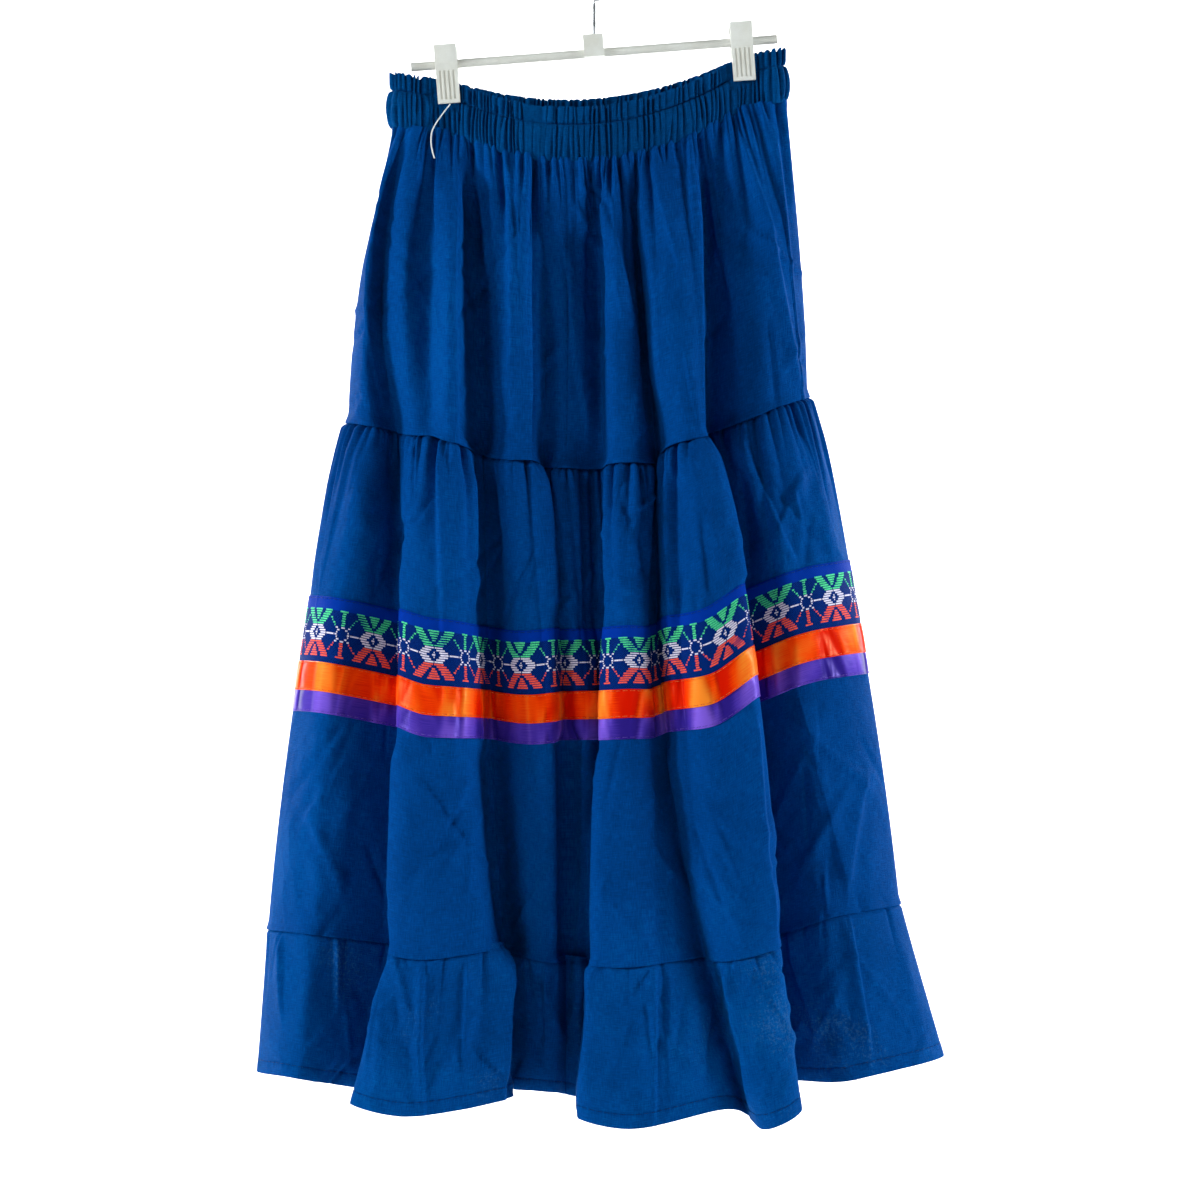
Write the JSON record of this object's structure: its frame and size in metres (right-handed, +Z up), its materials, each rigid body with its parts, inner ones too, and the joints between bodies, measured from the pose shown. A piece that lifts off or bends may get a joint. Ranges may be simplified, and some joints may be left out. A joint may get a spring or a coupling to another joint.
{
  "type": "tiered dance skirt on a clip hanger",
  "caption": "Long gathered skirt in tiers with a ruffled hem, a woven trim band and satin ribbons, an elastic waist, hung from a bar hanger by spring clips.",
  "frame": {"origin": "inside top of the hanger's hook, the point that rests on a rail", "axes": "+Z up, from hem to hook; -Y out of the skirt's front; +X to the right as seen from the front"},
  "size_m": [0.6198, 0.2576, 1.0364],
  "materials": {
    "cotton": "plain-woven royal blue cotton",
    "woven_trim": "jacquard-woven trim in blue, green, white and coral",
    "orange_satin": "orange satin ribbon",
    "purple_satin": "purple satin ribbon",
    "hanger_plastic": "moulded off-white plastic",
    "steel": "bright plated steel",
    "thread": "white spun thread"
  },
  "bodies": {
    "root": {"waistband": "cotton", "upper_tier_left": "cotton", "upper_tier_right": "cotton", "middle_tier_left": "cotton", "middle_tier_right": "cotton", "flounce_left": "cotton", "flounce_right": "cotton", "woven_band": "woven_trim", "orange_ribbon": "orange_satin", "purple_ribbon": "purple_satin", "hanger_bar": "hanger_plastic", "hanger_hook": "steel", "clip_left_front_jaw": "hanger_plastic", "clip_left_back_jaw": "hanger_plastic", "clip_left_spring": "steel", "clip_right_front_jaw": "hanger_plastic", "clip_right_back_jaw": "hanger_plastic", "clip_right_spring": "steel", "loose_thread": "thread"}
  },
  "joints": []
}
